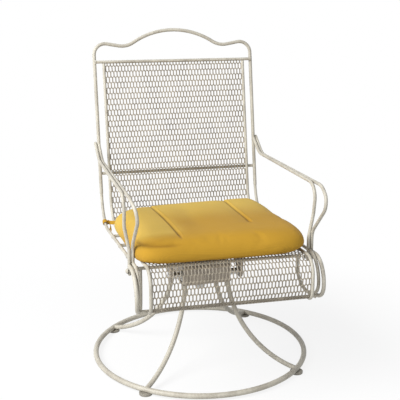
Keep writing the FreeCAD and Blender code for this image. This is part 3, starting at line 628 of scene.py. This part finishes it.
def seam_profile(points):
    """Depth of the seams' grooves, the hollows beside them and the soft valley, on the cushion's top."""
    depth = np.zeros(len(points))
    for line in SEAMS:
        off, share = beside(points, line)
        hollow = bell(off, SEAM_HOLLOW)
        lip = SEAM_LIP * hollow * np.tanh(off / SEAM_WIDTH)
        profile = GROOVE_SHARE * bell(off, SEAM_WIDTH) + HOLLOW_SHARE * hollow - lip
        depth += faded(share, SEAM_ENDS) * SEAM_DEPTH * profile
    off, share = beside(points, VALLEY)
    return depth + faded(share, VALLEY_ENDS) * VALLEY_DEPTH * bell(off, VALLEY_WIDTH)


def welt_profile(points, height):
    """Depth of the seam that runs round the left front corner."""
    share = (points[:, 0] - WELT_ENDS[0]) / (WELT_ENDS[1] - WELT_ENDS[0])
    line = bell(height - WELT_HEIGHT, WELT_WIDTH)
    front = np.clip((WELT_FRONT - points[:, 1]) / WELT_FRONT_WIDTH, 0, 1)
    return WELT_DEPTH * line * front * np.clip((1 - share) / WELT_FADE, 0, 1)


def painted_fold_shade(points, upward, welt):
    """Painted shade: how light the fabric is at each point, darker in the folds of the seams and the welt.
    """
    fold = WELT_SHADE * welt
    for line in SEAMS:
        off, share = beside(points, line)
        crease = upward * faded(share, SEAM_ENDS) * bell(off + SEAM_WIDTH / 2, SEAM_WIDTH)
        fold = np.maximum(fold, crease)
    return 1 - SEAM_SHADE * fold


def painted_light_share(points, upward):
    """How much painted light the fabric gets at each point: towards the rear, and on the left panel."""
    rear = np.clip((points[:, 1] - PAINTED_LIGHT_FROM) / (PAINTED_LIGHT_TO - PAINTED_LIGHT_FROM), 0, 1)
    panel = np.clip((PAINTED_LIGHT_SIDE - points[:, 0]) / PAINTED_LIGHT_SIDE_WIDTH, 0, 1)
    panel *= np.clip((points[:, 1] - PAINTED_LIGHT_SIDE_FRONT) / PAINTED_LIGHT_SIDE_WIDTH, 0, 1) * upward
    share = np.maximum(rear, PAINTED_LIGHT_SIDE_SHARE * panel)
    return share ** 2 * (3 - 2 * share)


def paint_light_and_shade(mesh, points, upward, welt):
    """Writes the fabric's colour at each point, with its painted shade and painted light, as a share of the
    palest painted-lit colour.
    """
    light = painted_fold_shade(points, upward, welt)
    colours = np.stack([light ** power for power in FOLD_TINT] + [np.ones(len(light))], axis=1)
    plain_share = 1 - painted_light_share(points, upward)
    colours[:, :3] *= 1 - plain_share[:, None] * (1 - np.array(GOLD) / np.array(GOLD_PAINTED_LIGHT))
    attribute = mesh.color_attributes.new(PAINTED_SHADING_ATTRIBUTE, "FLOAT_COLOR", "POINT")
    attribute.data.foreach_set("color", colours.ravel())


def pillow(low, high, steps=72):
    """Closed form with a rounded square plan, soft edges, a crown and sides that draw in."""
    centre = (low + high) / 2
    half = (high - low) / 2 - SWELL_ROOM
    built = bmesh.new()
    ys = centre[1] + half[1] * np.sin(np.pi / 2 * np.linspace(-1, 1, steps + 1))
    rests = rest_height(half[0], ys)

    def point(i, j, sheet):
        """Point of the upper sheet, 1, or the lower sheet, -1; the two meet at the rim."""
        a = math.sin(math.pi / 2 * (2 * i / steps - 1))
        b = math.sin(math.pi / 2 * (2 * j / steps - 1))
        reach = max(abs(a), abs(b))
        spread = (abs(a) ** CUSHION_SQUARE + abs(b) ** CUSHION_SQUARE) ** (1 / CUSHION_SQUARE)
        square = reach / spread if spread else 1.0
        x = centre[0] + (half[0] - SIDES_IN * (1 - b * b)) * a * square
        y = centre[1] + (half[1] - SIDES_IN * (1 - a * a)) * b * square
        power = CUSHION_EDGE if sheet > 0 else CUSHION_UNDER
        round_edge = math.sqrt(max(0.0, 1 - reach ** power))
        rear_lift = REAR_LIFT * (1 + a) / 2 * max(0.0, b) ** 2
        sag = FRONT_SAG * max(0.0, -b) ** FRONT_SAG_POWER
        side_lift = SIDE_LIFT * max(0.0, a) ** SIDE_LIFT_POWER
        z = seat_line(y) + EDGE_BELOW + side_lift - sag
        z += rear_lift * (1 + sheet * round_edge) / 2
        if sheet > 0:
            z += (EDGE_ABOVE + sag) * round_edge + CUSHION_CROWN * (1 - a * a) * (1 - b * b)
        else:
            z += (rests[j] + side_lift - z) * round_edge
        return (x, y, z)

    for sheet in (1, -1):
        grid = []
        for i in range(steps + 1):
            grid.append([built.verts.new(point(i, j, sheet)) for j in range(steps + 1)])
        for i in range(steps):
            for j in range(steps):
                corners = [grid[i][j], grid[i + 1][j], grid[i + 1][j + 1], grid[i][j + 1]]
                built.faces.new(corners if sheet > 0 else corners[::-1])
    bmesh.ops.remove_doubles(built, verts=built.verts, dist=TINY)
    return finished_mesh(built, "seat_cushion_cover")


def fitted(points, low, high):
    """Points spread so that they reach the cushion's own extents, along the slope of the seat."""
    trim_low, trim_high = (np.array(trim) for trim in CUSHION_TRIM)
    first = points[:, :2].min(axis=0)
    last = points[:, :2].max(axis=0)
    share = (points[:, :2] - first) / (last - first)
    spread = low[:2] + trim_low + share * (high[:2] + trim_high - low[:2] - trim_low)
    height = points[:, 2] + SEAT_SLOPE * (spread[:, 1] - points[:, 1])
    return np.column_stack([spread, height])


def cushion():
    """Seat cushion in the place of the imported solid, swelled, with its seams pressed in afterwards."""
    low, high = (np.array(corner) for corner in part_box("seat_cushion"))
    piece = add_piece("seat_cushion_cover", pillow(low, high), "cushion_fabric", "seat")
    remesh = piece.modifiers.new("even", "REMESH")
    remesh.mode = "VOXEL"
    remesh.voxel_size = VOXEL
    soft = piece.modifiers.new("soft", "SMOOTH")
    soft.factor = 0.5
    soft.iterations = 4
    apply_modifiers(piece)
    inflate(piece)
    subdivide(piece)
    points = fitted(positions(piece.data), low, high)
    normals = np.empty(len(points) * 3)
    piece.data.vertex_normals.foreach_get("vector", normals)
    normals = normals.reshape(-1, 3)
    rest = rest_height(points[:, 0], points[:, 1])
    height = points[:, 2] - seat_line(points[:, 1])
    upward = np.clip(normals[:, 2], 0, 1)
    welt = welt_profile(points, height)
    # painted shade in the seam folds, and painted light towards the rear and on the left panel
    paint_light_and_shade(piece.data, points, upward, welt / WELT_DEPTH)
    points[:, 2] -= seam_profile(points) * upward
    points -= normals * welt[:, None]
    above = np.maximum(points[:, 2] - rest, 0)
    points[:, 2] = rest + above * np.clip(above / TIGHT_HEIGHT, 0, 1)
    set_positions(piece.data, points)
    shade_smooth(piece.data)
    piece.data.materials.clear()
    piece.data.materials.append(PAINTED_LIGHT_FABRIC)
    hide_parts("seat_cushion")
    return piece


cushion_cover = cushion()


def stitches(cover):
    """Row of thread stitches on the cushion's top, beside each seam."""
    points = positions(cover.data)
    points = points[points[:, 2] > seat_line(points[:, 1]) + EDGE_BELOW + EDGE_ABOVE / 2]
    size = Matrix.Diagonal((STITCH / 2, STITCH_RADIUS, STITCH_RADIUS, 1.0))
    built = bmesh.new()
    for line in SEAMS:
        first, last = (np.array(end) for end in line)
        length = np.linalg.norm(last - first)
        along = (last - first) / length
        start = first + STITCH_OFF * np.array((-along[1], along[0]))
        for place in np.arange(SEAM_ENDS * length, (1 - SEAM_ENDS) * length, STITCH_PITCH):
            ends = []
            for reach in (place, place + STITCH):
                at = start + along * reach
                nearest = np.argmin(((points[:, :2] - at) ** 2).sum(axis=1))
                ends.append(Vector((*at, points[nearest, 2])))
            middle = (ends[0] + ends[1]) / 2
            turned = (ends[1] - ends[0]).to_track_quat("X", "Z").to_matrix().to_4x4()
            thread = Matrix.Translation(middle) @ turned @ size
            bmesh.ops.create_uvsphere(built, u_segments=8, v_segments=6, radius=1.0, matrix=thread)
    mesh = finished_mesh(built, "seam_stitches")
    shade_smooth(mesh)
    add_piece("seam_stitches", mesh, "cushion_fabric", "seat")


stitches(cushion_cover)


# Cushion ties

def ribbon(built, points, wide):
    """Flat band through points, with the direction of its width, added to a mesh being built."""
    across = wide.normalized() * (RIBBON / 2)
    rows = []
    for place, middle in enumerate(points):
        ahead = points[min(place + 1, len(points) - 1)] - points[max(place - 1, 0)]
        thick = ahead.cross(across).normalized() * (RIBBON_THICK / 2)
        rows.append([built.verts.new(middle + a * across + b * thick) for a, b in BAND_CORNERS])
    for before, after in zip(rows, rows[1:]):
        for i in range(len(before)):
            beyond = (i + 1) % len(before)
            built.faces.new([before[i], before[beyond], after[beyond], after[i]])
    built.faces.new(rows[0][::-1])
    built.faces.new(rows[-1])


def arched(start, end, rise, steps=12):
    """Points from start to end that bow by rise."""
    points = []
    for step in range(steps + 1):
        share = step / steps
        points.append(start.lerp(end, share) + rise * (4 * share * (1 - share)))
    return points


def wound(centre, first, second, radius, turns=1, steps=16, shift=Vector((0.0, 0.0, 0.0))):
    """Points round a centre, from the first direction towards the second, that move by shift on the way."""
    points = []
    for step in range(steps + 1):
        angle = 2 * math.pi * turns * step / steps
        out = first * math.cos(angle) + second * math.sin(angle)
        points.append(centre + shift * (step / steps - 0.5) + out * radius)
    return points


def tie(side):
    """Ribbon wound twice round the rail, knotted, with two tails and a strap to the cushion's corner."""
    outward = Vector((1.0 if side == "right" else -1.0, 0.0, 0.0))
    found = [vertex.co for vertex in nodes["cushion_tie_" + side].data.vertices]
    rail = [vertex.co for vertex in nodes["side_rail_" + side].data.vertices]
    far = max(point.dot(outward) for point in found)
    near = min(found, key=lambda point: point.dot(outward))
    band = [point for point in found if point.dot(outward) > far - RIBBON]
    middle = sum(band, Vector()) / len(band)
    close = sorted(rail, key=lambda point: (point - middle).length)[:RAIL_POINTS]
    centre = sum(close, Vector()) / len(close)
    spread = np.cov(np.array([tuple(point - centre) for point in close]).T)
    along = Vector(np.linalg.eigh(spread)[1][:, -1])
    up = outward.cross(along).normalized()
    reach = far - centre.dot(outward) - RIBBON_THICK
    built = bmesh.new()
    shift = along * (RIBBON * WINDING_SHIFT)
    ribbon(built, wound(centre, -outward, up, reach, WINDING_TURNS, WINDING_STEPS, shift), along)
    knot = centre - outward * (reach + RIBBON * KNOT_OFF)
    for turn in KNOT_TURNS:
        loop = wound(knot, outward, up, RIBBON * KNOT_RADIUS)
        ribbon(built, loop, along * math.cos(turn) + up * math.sin(turn))
    for sway in TAIL_SWAYS:
        end = knot + Vector((0.0, sway * TAIL, -TAIL)) - outward * (TAIL_IN * TAIL)
        ribbon(built, arched(knot, end, -outward * TAIL_BOW), along)
    inside = near + (near - knot).normalized() * RIBBON
    ribbon(built, arched(knot, inside, Vector((0.0, 0.0, -STRAP_SAG))), STRAP_WIDE)
    bmesh.ops.recalc_face_normals(built, faces=built.faces)
    mesh = finished_mesh(built, "tie_ribbon_" + side)
    piece = add_piece("tie_ribbon_" + side, mesh, "cushion_fabric", "seat")
    subdivide(piece)
    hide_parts("cushion_tie_" + side)


for side in ("left", "right"):
    tie(side)


# Stage, light and camera

def seen_directly(tree):
    """One for rays from the camera, off gloss or through glass; zero for rays that only carry light."""
    path = tree.nodes.new("ShaderNodeLightPath")
    found = path.outputs["Is Camera Ray"]
    for kind in ("Is Glossy Ray", "Is Transmission Ray"):
        both = tree.nodes.new("ShaderNodeMath")
        both.operation = "ADD"
        both.use_clamp = True
        tree.links.new(found, both.inputs[0])
        tree.links.new(path.outputs[kind], both.inputs[1])
        found = both.outputs["Value"]
    return found


def mixed_shader(tree, factor, first, second):
    """Mix of two shaders: the first where the factor is zero, the second where it is one."""
    node = tree.nodes.new("ShaderNodeMixShader")
    tree.links.new(factor, node.inputs["Fac"])
    tree.links.new(first, node.inputs[1])
    tree.links.new(second, node.inputs[2])
    return node.outputs["Shader"]


def glow_share(tree):
    """Share of the floor's white that no shadow falls on, which grows away from the chair."""
    place = tree.nodes.new("ShaderNodeTexCoord").outputs["Object"]
    far = tree.nodes.new("ShaderNodeVectorMath")
    far.operation = "LENGTH"
    tree.links.new(place, far.inputs[0])
    share = tree.nodes.new("ShaderNodeMapRange")
    share.interpolation_type = "SMOOTHSTEP"
    share.inputs["From Min"].default_value = SHADOW_NEAR
    share.inputs["From Max"].default_value = SHADOW_FAR
    share.inputs["To Min"].default_value = FLOOR_GLOW
    share.inputs["To Max"].default_value = 1.0
    tree.links.new(far.outputs["Value"], share.inputs["Value"])
    return share.outputs["Result"]


def white_floor():
    """White with a soft shadow to the camera, and pale for the light that it sends to the chair."""
    made = bpy.data.materials.new("floor_white")
    made.use_nodes = True
    tree = made.node_tree
    shader = tree.nodes["Principled BSDF"]
    shader.inputs["Base Color"].default_value = FLOOR_PALE
    shader.inputs["Roughness"].default_value = FLOOR_ROUGH
    glow = tree.nodes.new("ShaderNodeEmission")
    glow.inputs["Color"].default_value = WHITE
    glow.inputs["Strength"].default_value = 1.0
    matt = tree.nodes.new("ShaderNodeBsdfDiffuse")
    matt.inputs["Color"].default_value = FLOOR_MATT
    white = mixed_shader(tree, glow_share(tree), matt.outputs["BSDF"], glow.outputs["Emission"])
    mix = mixed_shader(tree, seen_directly(tree), shader.outputs["BSDF"], white)
    tree.links.new(mix, tree.nodes["Material Output"].inputs["Surface"])
    return made


def add_stage():
    built = bmesh.new()
    bmesh.ops.create_circle(built, cap_ends=True, segments=64, radius=FLOOR_RADIUS)
    mesh = finished_mesh(built, "floor")
    mesh.materials.append(white_floor())
    floor = bpy.data.objects.new("floor", mesh)
    bpy.context.scene.collection.objects.link(floor)


def add_world():
    world = bpy.data.worlds.new("studio")
    bpy.context.scene.world = world
    world.use_nodes = True
    tree = world.node_tree
    soft = tree.nodes["Background"]
    soft.inputs["Color"].default_value = SKY
    soft.inputs["Strength"].default_value = SKY_STRENGTH
    white = tree.nodes.new("ShaderNodeBackground")
    white.inputs["Color"].default_value = WHITE
    white.inputs["Strength"].default_value = 1.0
    mix = mixed_shader(tree, seen_directly(tree), soft.outputs["Background"], white.outputs["Background"])
    tree.links.new(mix, tree.nodes["World Output"].inputs["Surface"])


def add_aimed(name, data, at):
    """Lamp or camera that looks at the middle of the chair."""
    made = bpy.data.objects.new(name, data)
    bpy.context.scene.collection.objects.link(made)
    made.location = at
    made.rotation_euler = (CAMERA_TARGET - Vector(at)).to_track_quat("-Z", "Y").to_euler()
    return made


def add_light(name, at, size, power):
    light = bpy.data.lights.new(name, "AREA")
    light.size = size
    light.energy = power
    add_aimed(name, light, at)


def add_camera():
    camera = bpy.data.cameras.new("camera")
    camera.lens = CAMERA_LENS
    camera.sensor_width = CAMERA_SENSOR
    bpy.context.scene.camera = add_aimed("camera", camera, CAMERA_AT)


add_stage()
add_world()
add_light("key", at=(-3.0, -1.2, 3.0), size=2.4, power=200.0)
add_light("fill", at=(0.4, -3.4, 1.2), size=2.4, power=22.0)
add_camera()
bpy.context.scene.view_settings.view_transform = "Standard"
